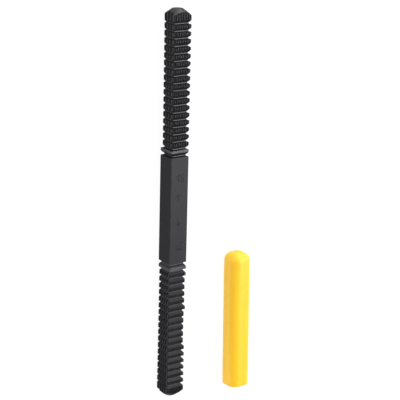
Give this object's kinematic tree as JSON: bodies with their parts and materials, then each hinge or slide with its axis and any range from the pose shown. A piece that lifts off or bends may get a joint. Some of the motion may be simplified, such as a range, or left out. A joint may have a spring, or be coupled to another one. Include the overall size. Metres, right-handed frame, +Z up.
{
  "type": "thread restoring file",
  "caption": "Double-ended square steel thread restoring file, each toothed face cut for a different thread pitch, with a loose dipped vinyl grip sleeve lying beside it.",
  "frame": {"origin": "centre of the shank's bottom face, on the surface that the file and its sleeve lie on", "axes": "+X along the bar towards the end with the finer top face, +Z up, +Y towards the loose sleeve"},
  "size_m": [0.2576, 0.0662, 0.0156],
  "materials": {
    "black_steel": "hardened steel, black oxide over ground and milled faces, lightly oiled",
    "dipped_vinyl": "soft yellow dip-moulded vinyl, smooth and glossy"
  },
  "bodies": {
    "bar": {"file_bar": "black_steel"},
    "sleeve": {"grip_sleeve": "dipped_vinyl"}
  },
  "joints": [
    {"name": "sleeve_slide", "type": "slide", "parent": "bar", "child": "sleeve", "axis": [-0.9998, -0.0209, 0], "range_m": [0, 0.0928]}
  ]
}
